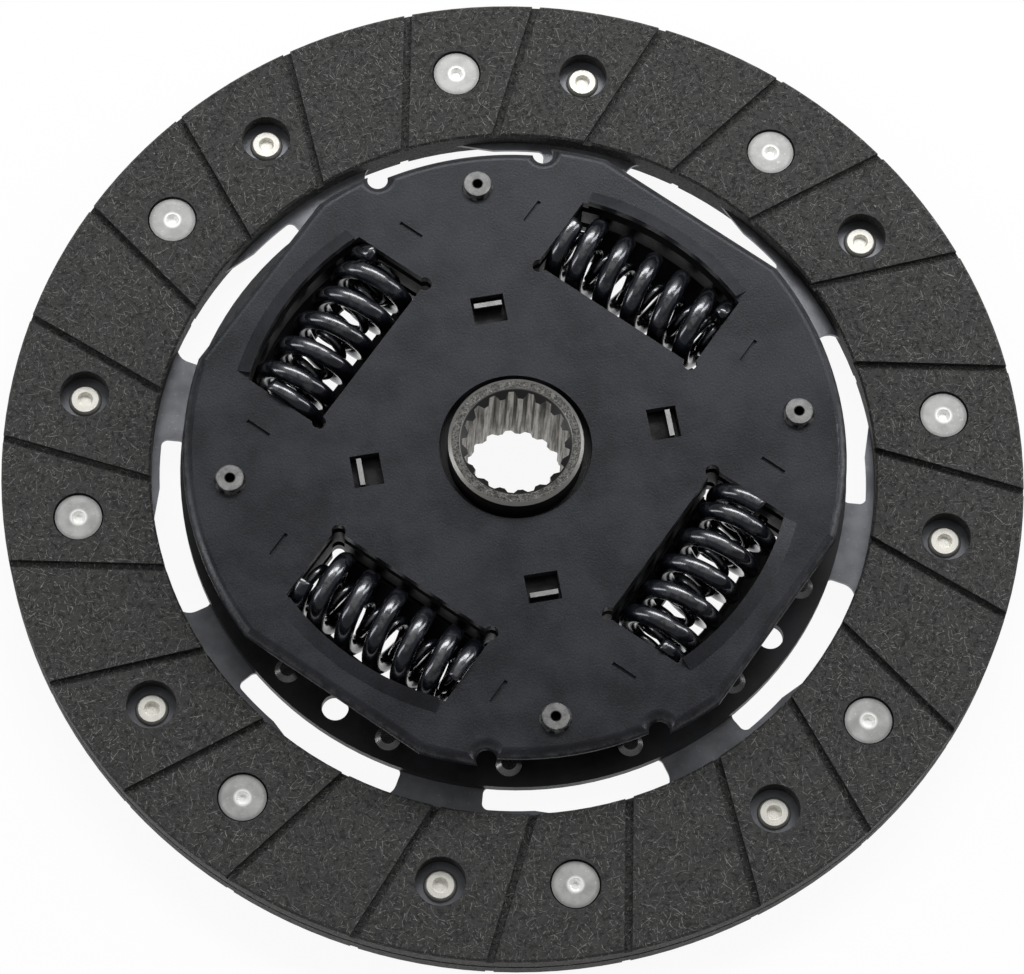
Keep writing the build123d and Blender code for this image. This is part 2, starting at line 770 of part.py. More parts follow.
with BuildPart() as centring_bush:
    with BuildSketch(Plane.XY.offset(drive_disc_bottom - bush_foot)):
        Circle(drive_disc_bore_radius - bush_press)
        Circle(hub_radius + bush_clearance, mode=Mode.SUBTRACT)
    extrude(amount=bush_foot + plate_thickness)
    with BuildSketch(Plane.XY.offset(drive_disc_top)):
        Circle(bush_collar_radius)
        Circle(hub_radius + bush_clearance, mode=Mode.SUBTRACT)
    extrude(amount=rear_ring_thickness)
centring_bush.part.label = "centring_bush"
export_step(centring_bush.part, "parts/centring_bush.step")

with BuildPart() as friction_ring_rear:
    with BuildSketch(Plane.XY.offset(drive_disc_top)):
        Circle(friction_ring_outer_radius)
        Circle(rear_ring_inner_radius, mode=Mode.SUBTRACT)
    extrude(amount=rear_ring_thickness)
friction_ring_rear.part.label = "friction_ring_rear"
export_step(friction_ring_rear.part, "parts/friction_ring_rear.step")

with BuildPart() as friction_ring_front:
    with BuildSketch(Plane.XY.offset(flange_top)):
        Circle(friction_ring_outer_radius)
        Circle(front_ring_inner_radius, mode=Mode.SUBTRACT)
    extrude(amount=front_ring_thickness)
friction_ring_front.part.label = "friction_ring_front"
export_step(friction_ring_front.part, "parts/friction_ring_front.step")

with BuildPart() as thrust_ring:
    with BuildSketch(Plane.XY.offset(thrust_ring_bottom)):
        Circle(thrust_ring_outer_radius)
        Circle(thrust_ring_inner_radius, mode=Mode.SUBTRACT)
    extrude(amount=thrust_ring_thickness)
    with BuildSketch(Plane.XY.offset(thrust_ring_bottom)):
        with PolarLocations(lug_circle_radius, spring_count):
            Rectangle(lug_thickness, lug_width)
    extrude(amount=retainer_top - lug_below_face - thrust_ring_bottom)
thrust_ring.part.label = "thrust_ring"
export_step(thrust_ring.part, "parts/thrust_ring.step")

with BuildPart() as disc_spring:
    with BuildSketch(Plane.XZ):
        Polygon(
            (disc_spring_inner_radius, retainer_bottom - disc_spring_thickness),
            (disc_spring_inner_radius, retainer_bottom),
            (disc_spring_outer_radius, thrust_ring_top + disc_spring_thickness),
            (disc_spring_outer_radius, thrust_ring_top),
            align=None,
        )
    revolve(axis=Axis.Z)
disc_spring.part.label = "disc_spring"
export_step(disc_spring.part, "parts/disc_spring.step")
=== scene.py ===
"""Clutch disc: finish, torsion springs, window lips, floor, light and camera on the CAD frame.

Everything is in metres in the frame of the CAD model: the shaft axis is +Z through the
origin, which lies halfway between the two friction faces.
"""

import json
import math

import bpy
from mathutils import Matrix, Vector


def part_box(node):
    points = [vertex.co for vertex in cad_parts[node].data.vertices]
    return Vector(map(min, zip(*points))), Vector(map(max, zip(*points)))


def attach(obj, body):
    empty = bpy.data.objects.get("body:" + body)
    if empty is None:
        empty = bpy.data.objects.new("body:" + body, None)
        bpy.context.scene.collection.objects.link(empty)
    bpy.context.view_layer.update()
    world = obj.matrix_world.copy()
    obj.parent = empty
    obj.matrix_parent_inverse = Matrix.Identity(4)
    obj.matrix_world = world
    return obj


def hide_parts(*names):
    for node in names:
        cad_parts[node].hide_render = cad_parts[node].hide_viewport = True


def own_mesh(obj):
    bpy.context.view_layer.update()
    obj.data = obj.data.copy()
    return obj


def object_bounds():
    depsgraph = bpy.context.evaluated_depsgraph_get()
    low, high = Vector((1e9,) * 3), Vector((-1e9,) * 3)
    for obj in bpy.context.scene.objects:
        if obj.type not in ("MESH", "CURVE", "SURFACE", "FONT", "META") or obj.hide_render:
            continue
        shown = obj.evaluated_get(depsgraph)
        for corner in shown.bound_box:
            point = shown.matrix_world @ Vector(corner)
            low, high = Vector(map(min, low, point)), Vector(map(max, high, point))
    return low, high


MM = 0.001

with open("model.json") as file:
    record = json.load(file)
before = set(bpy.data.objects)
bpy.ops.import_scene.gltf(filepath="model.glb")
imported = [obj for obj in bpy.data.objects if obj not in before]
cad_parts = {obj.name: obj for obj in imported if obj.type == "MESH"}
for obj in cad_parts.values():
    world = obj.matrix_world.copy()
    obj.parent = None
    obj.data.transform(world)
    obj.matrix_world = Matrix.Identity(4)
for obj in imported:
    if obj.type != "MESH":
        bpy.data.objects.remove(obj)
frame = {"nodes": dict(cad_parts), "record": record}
cad_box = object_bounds()
NODES = frame["nodes"]

# ------------------------------------------------------------------ sizes, mm

IMAGE_WIDTH = 1024
IMAGE_HEIGHT = 974

SPRING_COUNT = 4
FIRST_SPRING_ANGLE = 45.0
SPRING_CIRCLE = 41.1            # distance from the shaft axis to a spring's axis
SPRING_HALF_LENGTH = 17.35

FACING_RIVET_COUNT = 8          # in each facing
FACING_RIVET_CIRCLE = 81.2
FRONT_RIVET_ANGLE = -2.5
REAR_RIVET_ANGLE = -19.7
FACING_HOLE_RADIUS = 4.4        # where the grime round a rivet hole begins
FACING_GRIME_RADIUS = 6.4       # and where it ends
STOP_PIN_COUNT = 4
STOP_PIN_CIRCLE = 52.8
STOP_PIN_ANGLE = -2.5
HUB_RADIUS = 12.5
HUB_SHADE_LEVEL = 10.5         # the hub is painted in shade below this height
BORE_RIM_RADIUS = 10.5          # where the bore's chamfer meets the hub's face
SPLINE_RADIUS = 9.95
RETAINER_TOP = 13.35

# Section of a window lip: distance from the shaft axis and height of each corner
LIP_SECTION = (
    (51.4, 1.9), (50.4, 1.0), (48.9, -0.2), (47.5, -1.1), (46.4, -1.6),
    (46.2, -2.1), (46.5, -2.6), (47.9, -2.3), (49.6, -1.3), (51.2, 0.0),
)
LIP_HALF_ANGLE = 18.4
LIP_STEPS = 24

COIL_STEPS_PER_TURN = 56
COIL_SIDES = 24

FLOOR_HALF_WIDTH = 3.0          # in metres
FLOOR_GLOW_SHARE = 0.93         # part of the floor's look that is its own white
WORLD_STRENGTH = 0.28

# Each coil: outer radius, wire radius, open turns, pitch of an end turn, depth ground off
# the wire at each end, turn of the tips about the spring's axis, and hand
OUTER_COIL = dict(
    radius=8.2, wire=1.75, open_turns=4, end_pitch=4.05, grinding=0.85, tip_turn=-70.0, hand=1
)
INNER_COIL = dict(
    radius=4.0, wire=0.95, open_turns=8, end_pitch=2.1, grinding=0.45, tip_turn=0.0, hand=-1
)


# ---------------------------------------------------------------- node helper

class Shader:
    """A material under construction, with short calls for the nodes it needs."""

    def __init__(self, name):
        self.material = bpy.data.materials.new(name)
        self.material.use_nodes = True
        self.tree = self.material.node_tree
        self.bsdf = self.tree.nodes["Principled BSDF"]

    def node(self, kind, inputs=None, **settings):
        """Add a node; inputs maps socket names or numbers to links or values."""
        made = self.tree.nodes.new(kind)
        for key, value in settings.items():
            setattr(made, key, value)
        for key, value in (inputs or {}).items():
            self.feed(made.inputs[key], value)
        return made

    def feed(self, socket, value):
        if isinstance(value, bpy.types.NodeSocket):
            self.tree.links.new(value, socket)
        else:
            socket.default_value = value

    def set(self, **values):
        """Set inputs of the principled shader, with underscores for blanks."""
        for key, value in values.items():
            self.feed(self.bsdf.inputs[key.replace("_", " ")], value)

    def place(self, scale=1.0):
        """Coordinates in millimetres in the part's own frame, times scale."""
        coords = self.node("ShaderNodeTexCoord").outputs["Object"]
        size = scale / MM
        return self.vector("MULTIPLY", coords, (size, size, size))

    def vector(self, operation, first, second=None):
        made = self.node("ShaderNodeVectorMath", {0: first}, operation=operation)
        if second is not None:
            self.feed(made.inputs[1], second)
        plain = operation in ("DOT_PRODUCT", "LENGTH", "DISTANCE")
        return made.outputs["Value" if plain else "Vector"]

    def math(self, operation, first, second=None, third=None):
        made = self.node("ShaderNodeMath", {0: first}, operation=operation)
        if second is not None:
            self.feed(made.inputs[1], second)
        if third is not None:
            self.feed(made.inputs[2], third)
        return made.outputs[0]

    def noise(self, coords, scale, detail=3.0, roughness=0.55):
        """Fractal noise from 0 to 1; scale is in features per millimetre."""
        values = {"Vector": coords, "Scale": scale, "Detail": detail, "Roughness": roughness}
        return self.node("ShaderNodeTexNoise", values).outputs["Fac"]

    def spread(self, value, low, high, to_low=0.0, to_high=1.0):
        """Map a value from one range to another, clamped, with a smooth step."""
        values = {0: value, 1: low, 2: high, 3: to_low, 4: to_high}
        made = self.node("ShaderNodeMapRange", values, interpolation_type="SMOOTHSTEP")
        return made.outputs[0]

    def mix(self, share, first, second):
        """Mix two colours."""
        made = self.node("ShaderNodeMix", data_type="RGBA")
        self.feed(made.inputs["Factor"], share)
        self.feed(made.inputs["A"], first)
        self.feed(made.inputs["B"], second)
        return made.outputs["Result"]

    def parts(self, coords):
        """The three components of a vector."""
        return self.node("ShaderNodeSeparateXYZ", {0: coords}).outputs

    def radius(self, coords):
        """Distance from the shaft axis."""
        flat = self.vector("MULTIPLY", coords, (1.0, 1.0, 0.0))
        return self.vector("LENGTH", flat)

    def from_ring(self, coords, circle_radius, count, start_angle):
        """Distance across the axis to the nearest of several axes set round a circle."""
        x, y, _ = self.parts(coords)
        pitch = 2 * math.pi / count
        turn = self.math("SUBTRACT", self.math("ARCTAN2", y, x), math.radians(start_angle))
        near = self.math("WRAP", turn, pitch / 2, -pitch / 2)
        radius = self.radius(coords)
        along = self.math("MULTIPLY", radius, self.math("COSINE", near))
        aside = self.math("MULTIPLY", radius, self.math("SINE", near))
        out = self.math("SUBTRACT", along, circle_radius)
        offset = self.node("ShaderNodeCombineXYZ", {0: out, 1: aside}).outputs[0]
        return self.vector("LENGTH", offset)

    def facing_up(self):
        """Vertical part of the surface normal in the part's own frame."""
        return self.parts(self.node("ShaderNodeTexCoord").outputs["Normal"])[2]

    def bump(self, height, distance, strength=1.0):
        """Bump from a height; distance is in millimetres."""
        values = {"Height": height, "Distance": distance * MM, "Strength": strength}
        return self.node("ShaderNodeBump", values).outputs["Normal"]


def grey(value, red=1.0, blue=1.0):
    """A grey with a slight cast."""
    return (value * red, value, value * blue, 1.0)


# ------------------------------------------------------------------ materials

def fibres(shader, cell, length, width, seed, share):
    """Mask of short bent fibres lying in the face, one in each Voronoi cell.

    cell, length and width are in millimetres; share is the part of cells that has one. The
    pattern leans with height, so that it doesn't run in straight lines down an edge.
    """
    coords = shader.place(1 / cell)
    height = shader.parts(coords)[2]
    lean = shader.node("ShaderNodeCombineXYZ", {0: height, 1: height}).outputs[0]
    coords = shader.vector("ADD", coords, lean)
    shifted = shader.vector("ADD", coords, (seed, seed * 1.7, 0))
    sway_noise = shader.node("ShaderNodeTexNoise", {"Vector": shifted, "Scale": 1.3, "Detail": 1.0})
    sway = shader.vector("MULTIPLY", sway_noise.outputs["Color"], (0.35, 0.35, 0.0))
    bent = shader.vector("ADD", shifted, sway)
    voronoi = shader.node(
        "ShaderNodeTexVoronoi", {"Vector": bent, "Scale": 1.0}, voronoi_dimensions="2D"
    )
    offset = shader.vector("SUBTRACT", bent, voronoi.outputs["Position"])
    picks = shader.node("ShaderNodeSeparateColor", {"Color": voronoi.outputs["Color"]})
    angle = shader.math("MULTIPLY", picks.outputs[0], 2 * math.pi)
    cosine = shader.math("COSINE", angle)
    sine = shader.math("SINE", angle)
    minus_sine = shader.math("MULTIPLY", sine, -1.0)
    along = shader.node("ShaderNodeCombineXYZ", {0: cosine, 1: sine}).outputs[0]
    across = shader.node("ShaderNodeCombineXYZ", {0: minus_sine, 1: cosine}).outputs[0]
    run = shader.math("ABSOLUTE", shader.vector("DOT_PRODUCT", offset, along))
    side = shader.math("ABSOLUTE", shader.vector("DOT_PRODUCT", offset, across))
    half_length = length / cell / 2
    half_width = width / cell / 2
    in_length = shader.spread(run, half_length, half_length * 0.8)
    in_width = shader.spread(side, half_width, half_width * 0.4)
    present = shader.math("LESS_THAN", picks.outputs[1], share)
    brightness = shader.spread(picks.outputs[2], 0.0, 1.0, 0.35, 1.0)
    mask = shader.math("MULTIPLY", in_length, in_width)
    return shader.math("MULTIPLY", shader.math("MULTIPLY", mask, present), brightness)


def lining_material():
    """Pressed organic lining: charcoal, mottled, with short pale fibres in all directions."""
    shader = Shader("friction_lining")
    place = shader.place()
    mottle = shader.noise(place, 0.35, 4.0, 0.6)
    grain = shader.noise(place, 2.6, 4.0, 0.7)
    base = shader.mix(shader.spread(mottle, 0.3, 0.7), grey(0.004), grey(0.012, blue=0.95))
    base = shader.mix(shader.spread(grain, 0.46, 0.68), base, grey(0.05, blue=0.93))
    hairs = fibres(shader, cell=1.5, length=1.5, width=0.15, seed=3.1, share=0.75)
    longer = fibres(shader, cell=2.7, length=2.8, width=0.16, seed=11.7, share=0.6)
    shorter = fibres(shader, cell=0.9, length=0.7, width=0.17, seed=23.9, share=0.5)
    hairs = shader.math("ADD", hairs, longer)
    hairs = shader.math("ADD", hairs, shorter)
    hairs = shader.math("MINIMUM", hairs, 1.0)
    patch = shader.spread(shader.noise(place, 0.15, 2.0), 0.35, 0.65, 0.5, 1.0)
    hairs = shader.math("MULTIPLY", hairs, patch)
    pits = shader.spread(shader.noise(place, 1.1, 4.0, 0.8), 0.54, 0.64)
    specks = shader.spread(shader.noise(place, 1.9, 3.0, 0.8), 0.62, 0.72)
    base = shader.mix(hairs, base, grey(0.22, blue=0.92))
    base = shader.mix(pits, base, grey(0.006))
    base = shader.mix(specks, base, grey(0.24, blue=0.9))
    for angle in (FRONT_RIVET_ANGLE, REAR_RIVET_ANGLE):
        from_hole = shader.from_ring(place, FACING_RIVET_CIRCLE, FACING_RIVET_COUNT, angle)
        grime = shader.spread(from_hole, FACING_HOLE_RADIUS, FACING_GRIME_RADIUS, 0.55, 0.0)
        base = shader.mix(grime, base, grey(0.016))
    shader.set(Base_Color=base, Roughness=shader.spread(grain, 0.3, 0.7, 0.55, 0.8))
    height = shader.math("SUBTRACT", shader.math("ADD", grain, hairs), pits)
    shader.set(Normal=shader.bump(height, 0.14, 1.0), Specular_IOR_Level=0.55)
    return shader.material


def steel_base(shader, place, low, high, cast, grain, speckle=0.0):
    """Mottled steel colour with sparse pale specks; gives the colour, cloud and fine noise.

    low and high are the darker and paler grey, and cast is their share of red and of blue.
    """
    cloud = shader.noise(place, 0.09 * grain, 5.0, 0.62)
    fine = shader.noise(place, 2.4 * grain, 3.0, 0.6)
    red, blue = cast
    base = shader.mix(shader.spread(cloud, 0.32, 0.68), grey(low, red, blue), grey(high, red, blue))
    if speckle:
        specks = shader.spread(shader.noise(place, 1.7, 2.0, 0.8), 0.64, 0.74, 0.0, speckle)
        base = shader.mix(specks, base, grey(high * 3.0, red, blue))
    return base, cloud, fine


def steel_finish(shader, base, cloud, fine, roughness, metallic, bump):
    """Set a steel colour with uneven gloss and a fine grain."""
    from_cloud = shader.math("MULTIPLY", cloud, 0.25)
    from_grain = shader.math("MULTIPLY", fine, 0.2)
    gloss = shader.math("ADD", from_cloud, from_grain)
    shader.set(
        Base_Color=base,
        Metallic=metallic,
        Roughness=shader.spread(gloss, 0.12, 0.32, roughness * 0.8, roughness * 1.25),
        Normal=shader.bump(shader.math("ADD", fine, cloud), bump, 0.7),
    )


def steel_material(name, low, high, roughness, metallic=1.0, cast=(1.0, 1.0), speckle=0.0,
                   grain=1.0, bump=0.015):
    """Sheet or turned steel: two mottled greys, uneven gloss, fine grain and sparse specks."""
    shader = Shader(name)
    base, cloud, fine = steel_base(shader, shader.place(), low, high, cast, grain, speckle)
    steel_finish(shader, base, cloud, fine, roughness, metallic, bump)
    return shader.material


def plate_material():
    """Blue-black phosphated sheet with a painted highlight on its bent and rounded top edges."""
    shader = Shader("plate_steel")
    place = shader.place()
    base, cloud, fine = steel_base(shader, place, 0.015, 0.028, (0.93, 1.28), 1.0, 0.25)
    # painted highlight: paler grey on the sloping rounded edges near the top of the plate, in
    # patches
    upright = shader.facing_up()
    rim_highlight = shader.spread(upright, 0.97, 0.6, 0.0, 1.0)
    rim_highlight = shader.math("MULTIPLY", rim_highlight, shader.spread(shader.noise(place, 0.5, 3.0), 0.35, 0.6))
    top = shader.spread(shader.parts(place)[2], RETAINER_TOP - 2.2, RETAINER_TOP - 1.2)
    rim_highlight = shader.math("MULTIPLY", rim_highlight, top)
    base = shader.mix(shader.math("MULTIPLY", rim_highlight, 0.5), base, grey(0.11, 0.98, 1.08))
    mottled = shader.spread(shader.noise(place, 3.0, 3.0, 0.8), 0.36, 0.64)
    base = shader.mix(mottled, shader.mix(0.5, base, grey(0.006)), base)
    steel_finish(shader, base, cloud, fine, 0.38, 0.5, 0.05)
    return shader.material


def rivet_material(name, side, start_angle):
    """Plated rivet: dull flat head with painted shade round its rim and a painted highlight in its
    centre, bright rolled tail in a ring of painted shade.

    side is +1 when the heads lie in the front facing and -1 when they lie in the rear one.
    """
    head, *head_cast = (0.42, 1.0, 0.98)
    tail, *tail_cast = (0.97, 1.02, 0.92)
    shader = Shader(name)
    place = shader.place()
    from_axis = shader.from_ring(place, FACING_RIVET_CIRCLE, FACING_RIVET_COUNT, start_angle)
    level = shader.math("MULTIPLY", shader.parts(place)[2], float(side))
    is_head = shader.spread(level, 0.5, 1.0)
    head_base, cloud, fine = steel_base(shader, place, head * 0.75, head, head_cast, 4.0, 0.3)
    # painted shade round the rim of the flat head
    rim_shading = shader.spread(from_axis, 3.5, 4.3, 0.0, 0.6)
    head_base = shader.mix(rim_shading, head_base, grey(head * 0.3))
    # painted highlight in the centre of the head
    centre = shader.spread(from_axis, 1.9, 1.2)
    head_base = shader.mix(centre, head_base, grey(0.9, *head_cast))
    tail_base = shader.mix(
        shader.spread(fine, 0.35, 0.65), grey(tail * 0.6, *tail_cast), grey(tail, *tail_cast)
    )
    # painted shade in the hole round the tail
    tail_hole_shade = shader.spread(from_axis, 2.6, 3.05, 0.0, 0.85)
    tail_base = shader.mix(tail_hole_shade, tail_base, grey(tail * 0.12))
    base = shader.mix(is_head, tail_base, head_base)
    steel_finish(shader, base, cloud, fine, 0.38, 0.35, 0.03)
    return shader.material


def pin_material():
    """Riveted stop pin: grey head with painted shade in its centre hole, darker in blotches round
    the head's edge, and painted shade below the plate's top.
    """
    shader = Shader("pin_steel")
    place = shader.place()
    base, cloud, fine = steel_base(shader, place, 0.14, 0.24, (1.0, 0.99), 5.0, 0.3)
    from_axis = shader.from_ring(place, STOP_PIN_CIRCLE, STOP_PIN_COUNT, STOP_PIN_ANGLE)
    # painted shade in the head's centre hole
    base = shader.mix(shader.spread(from_axis, 1.15, 0.9), base, grey(0.004))
    blot = shader.spread(shader.noise(place, 0.6, 2.0), 0.42, 0.58)
    edge = shader.math("MULTIPLY", shader.spread(from_axis, 2.1, 2.8), blot)
    base = shader.mix(edge, base, grey(0.02))
    # painted shade on the pin below the plate's top
    under_plate_shade = shader.spread(shader.parts(place)[2], RETAINER_TOP, RETAINER_TOP - 1.0, 0.0, 0.9)
    base = shader.mix(under_plate_shade, base, grey(0.03))
    steel_finish(shader, base, cloud, fine, 0.45, 0.8, 0.03)
    return shader.material


def hub_material():
    """Turned hub: granular grey face, painted highlight on the outer chamfer and painted shade on
    the bore's chamfer, warm broached teeth, painted shade on its outer side.
    """
    shader = Shader("hub_steel")
    place = shader.place()
    base, cloud, fine = steel_base(shader, place, 0.08, 0.17, (1.02, 0.95), 9.0, 0.6)
    pocks = shader.spread(shader.noise(place, 2.9, 3.0, 0.75), 0.56, 0.44)
    base = shader.mix(shader.math("MULTIPLY", pocks, 0.75), base, grey(0.012))
    radius = shader.radius(place)
    level = shader.parts(place)[2]
    stretched = shader.vector("MULTIPLY", place, (1.6, 1.6, 0.10))
    streaks = shader.noise(stretched, 1.0, 3.0, 0.6)
    teeth = shader.mix(
        shader.spread(streaks, 0.35, 0.65), grey(0.06, 1.14, 0.84), grey(0.34, 1.05, 0.92)
    )
    base = shader.mix(shader.spread(radius, SPLINE_RADIUS + 0.1, SPLINE_RADIUS), base, teeth)
    slope = shader.math("ABSOLUTE", shader.facing_up())
    edge = shader.math(
        "MULTIPLY", shader.spread(slope, 0.35, 0.55), shader.spread(slope, 0.98, 0.9)
    )
    past_bore = shader.spread(radius, BORE_RIM_RADIUS - 0.3, BORE_RIM_RADIUS)
    # painted highlight: pale grey on the sloping chamfers outside the bore's rim; painted shade:
    # dark grey on the chamfer into the bore
    rim_shading = shader.mix(past_bore, grey(0.05), grey(0.34, 1.02, 0.96))
    base = shader.mix(edge, base, rim_shading)
    outside = shader.spread(radius, HUB_RADIUS - 0.25, HUB_RADIUS - 0.05)
    # painted shade on the hub's steep outer side
    side_shade = shader.math("MULTIPLY", outside, shader.spread(slope, 0.35, 0.15))
    base = shader.mix(side_shade, base, grey(0.05))
    # painted shade on the hub's outer side low down, inside the plates
    low_side_shade = shader.spread(level, HUB_SHADE_LEVEL, HUB_SHADE_LEVEL - 1.0)
    base = shader.mix(shader.math("MULTIPLY", low_side_shade, outside), base, grey(0.04))
    steel_finish(shader, base, cloud, fine, 0.40, 0.9, 0.03)
    return shader.material


def lug_material():
    """Thin sheet of the thrust ring and the disc spring: dark, bright only on the lug tips."""
    shader = Shader("thrust_steel")
    place = shader.place()
    base, cloud, fine = steel_base(shader, place, 0.02, 0.04, (1.0, 1.05), 3.0)
    tip = shader.spread(shader.parts(place)[2], RETAINER_TOP - 0.9, RETAINER_TOP - 0.4)
    base = shader.mix(tip, base, grey(0.36))
    steel_finish(shader, base, cloud, fine, 0.3, 0.9, 0.01)
    return shader.material


def spring_material():
    """Black oiled spring wire with a clear gloss, pale scuffs, and a painted highlight along the
    tops of the windings.
    """
    shader = Shader("spring_steel")
    place = shader.place()
    base, cloud, fine = steel_base(shader, place, 0.008, 0.022, (0.85, 1.5), 2.0)
    scuff = shader.spread(shader.noise(place, 0.35, 4.0, 0.7), 0.52, 0.64)
    base = shader.mix(shader.math("MULTIPLY", scuff, 0.6), base, grey(0.09, 0.97, 1.1))
    # painted highlight: paler grey along the tops of the windings, in patches
    wire_top_highlight = shader.spread(shader.facing_up(), 0.86, 0.97)
    highlight_strength = shader.spread(shader.noise(place, 0.8, 4.0, 0.7), 0.36, 0.56, 0.25, 0.9)
    base = shader.mix(shader.math("MULTIPLY", wire_top_highlight, highlight_strength), base, grey(0.16, 0.98, 1.04))
    steel_finish(shader, base, cloud, fine, 0.26, 0.7, 0.008)
    shader.set(Coat_Weight=0.8, Coat_Roughness=shader.spread(cloud, 0.35, 0.65, 0.04, 0.12))
    return shader.material


def plastic_material(name, colour, roughness):
    """Moulded friction composite or bush plastic with a fine matt grain."""
    shader = Shader(name)
    place = shader.place()
    grain = shader.noise(place, 1.8, 4.0, 0.7)
    darker = tuple(part * 0.6 for part in colour[:3]) + (1.0,)
    shader.set(
        Base_Color=shader.mix(shader.spread(grain, 0.3, 0.7), darker, colour),
        Roughness=shader.spread(grain, 0.3, 0.7, roughness, roughness + 0.15),
        Normal=shader.bump(grain, 0.03, 0.6),
    )
    return shader.material


MATERIALS = {
    "friction_lining": lining_material(),
    "plate_steel": plate_material(),
    "disc_steel": steel_material(
        "disc_steel", 0.008, 0.016, roughness=0.45, metallic=0.4, cast=(0.95, 1.15), speckle=0.3
    ),
    "segment_steel": steel_material(
        "segment_steel", 0.12, 0.20, roughness=0.36, metallic=0.8, cast=(0.97, 1.08), speckle=0.2
    ),
    "pin_steel": pin_material(),
    "rivet_steel": steel_material(
        "rivet_steel", 0.14, 0.24, roughness=0.25, metallic=0.9, cast=(1.0, 1.03), speckle=0.2,
        grain=3.0,
    ),
    "facing_rivet_steel": rivet_material("facing_rivet_steel", 1, FRONT_RIVET_ANGLE),
    "facing_rivet_brass": rivet_material("facing_rivet_brass", -1, REAR_RIVET_ANGLE),
    "hub_steel": hub_material(),
    "flange_steel": steel_material(
        "flange_steel", 0.010, 0.02, roughness=0.45, metallic=0.6, cast=(1.0, 1.05), speckle=0.1
    ),
    "spring_steel": spring_material(),
    "thrust_steel": lug_material(),
    "friction_ring": plastic_material("friction_ring", (0.05, 0.043, 0.036, 1.0), 0.6),
    "bush_plastic": plastic_material("bush_plastic", (0.02, 0.02, 0.021, 1.0), 0.5),
}

for entry in frame["record"]["subparts"]:
    mesh = NODES[entry["node"]].data
    mesh.materials.clear()
    mesh.materials.append(MATERIALS[entry["material_slot"]])


# ------------------------------------------------------------ springs and lips

def coil_level(coil, turn):
    """Height along the coil's axis after so many turns from its middle, in millimetres."""
    open_half = coil["open_turns"] / 2
    open_span = SPRING_HALF_LENGTH - coil["end_pitch"] - coil["wire"] + coil["grinding"]
    beyond = max(0.0, abs(turn) - open_half)
    level = min(abs(turn), open_half) * open_span / open_half + beyond * coil["end_pitch"]
    return math.copysign(level, turn)


def coil_mesh(name, coil):
    """Tube along the coil, its ends ground flat, about its own axis +Z, in metres."""
    half_turns = coil["open_turns"] / 2 + 1
    steps = int(2 * half_turns * COIL_STEPS_PER_TURN)
    coil_radius = coil["radius"] - coil["wire"]
    vertices = []
    for step in range(steps + 1):
        turn = -half_turns + step / COIL_STEPS_PER_TURN
        angle = 2 * math.pi * turn * coil["hand"]
        outwards = Vector((math.cos(angle), math.sin(angle), 0))
        centre = outwards * coil_radius + Vector((0, 0, coil_level(coil, turn)))
        for side in range(COIL_SIDES):
            around = 2 * math.pi * side / COIL_SIDES
            point = centre + coil["wire"] * (
                math.cos(around) * outwards + math.sin(around) * Vector((0, 0, 1))
            )
            point.z = max(-SPRING_HALF_LENGTH, min(SPRING_HALF_LENGTH, point.z))
            vertices.append(point * MM)
    faces = []
    for step in range(steps):
        for side in range(COIL_SIDES):
            here = step * COIL_SIDES + side
            beside = step * COIL_SIDES + (side + 1) % COIL_SIDES
            faces.append((here, beside, beside + COIL_SIDES, here + COIL_SIDES))
    faces.append(tuple(reversed(range(COIL_SIDES))))
    faces.append(tuple(range(steps * COIL_SIDES, (steps + 1) * COIL_SIDES)))
    mesh = bpy.data.meshes.new(name)
    mesh.from_pydata(vertices, [], faces)
    mesh.shade_smooth()
    return mesh


def torsion_springs():
    """Four double coils that ride between hub and plates.
    """
    level = sum((corner.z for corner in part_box("torsion_spring_1")), 0.0) / 2
    for number in range(SPRING_COUNT):
        angle = math.radians(FIRST_SPRING_ANGLE + number * 360 / SPRING_COUNT)
        outwards = Vector((math.cos(angle), math.sin(angle), 0))
        tangent = Vector((-outwards.y, outwards.x, 0))
        seat = outwards * SPRING_CIRCLE * MM + Vector((0, 0, level))
        basis = Matrix((outwards, tangent.cross(outwards), tangent)).transposed().to_4x4()
        for name, coil, node in (
            (f"spring_coil_{number + 1}", OUTER_COIL, f"torsion_spring_{number + 1}"),
            (f"inner_coil_{number + 1}", INNER_COIL, f"inner_spring_{number + 1}"),
        ):
            turn = Matrix.Rotation(math.radians(coil["tip_turn"]), 4, "Z")
            mesh = coil_mesh(name, coil)
            mesh.transform(Matrix.Translation(seat) @ basis @ turn)
            mesh.materials.append(MATERIALS["spring_steel"])
            spring = bpy.data.objects.new(name, mesh)
            bpy.context.scene.collection.objects.link(spring)
            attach(spring, "springs")
            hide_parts(node)
            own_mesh(spring)


torsion_springs()


def window_lips():
    """Lips of the drive disc that curl under the outer side of each spring."""
    for number in range(SPRING_COUNT):
        middle = FIRST_SPRING_ANGLE + number * 360 / SPRING_COUNT
        vertices = []
        for step in range(LIP_STEPS + 1):
            angle = math.radians(middle + LIP_HALF_ANGLE * (2 * step / LIP_STEPS - 1))
            for radius, level in LIP_SECTION:
                vertices.append(
                    (radius * math.cos(angle) * MM, radius * math.sin(angle) * MM, level * MM)
                )
        count = len(LIP_SECTION)
        faces = []
        for step in range(LIP_STEPS):
            for side in range(count):
                here = step * count + side
                beside = step * count + (side + 1) % count
                faces.append((here, beside, beside + count, here + count))
        faces.append(tuple(range(count)))
        faces.append(tuple(reversed(range(LIP_STEPS * count, (LIP_STEPS + 1) * count))))
        name = f"window_lip_{number + 1}"
        mesh = bpy.data.meshes.new(name)
        mesh.from_pydata(vertices, [], faces)
        mesh.materials.append(MATERIALS["disc_steel"])
        lip = bpy.data.objects.new(name, mesh)
        bpy.context.scene.collection.objects.link(lip)
        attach(lip, "disc")


window_lips()


# ------------------------------------------------------ floor, light, camera

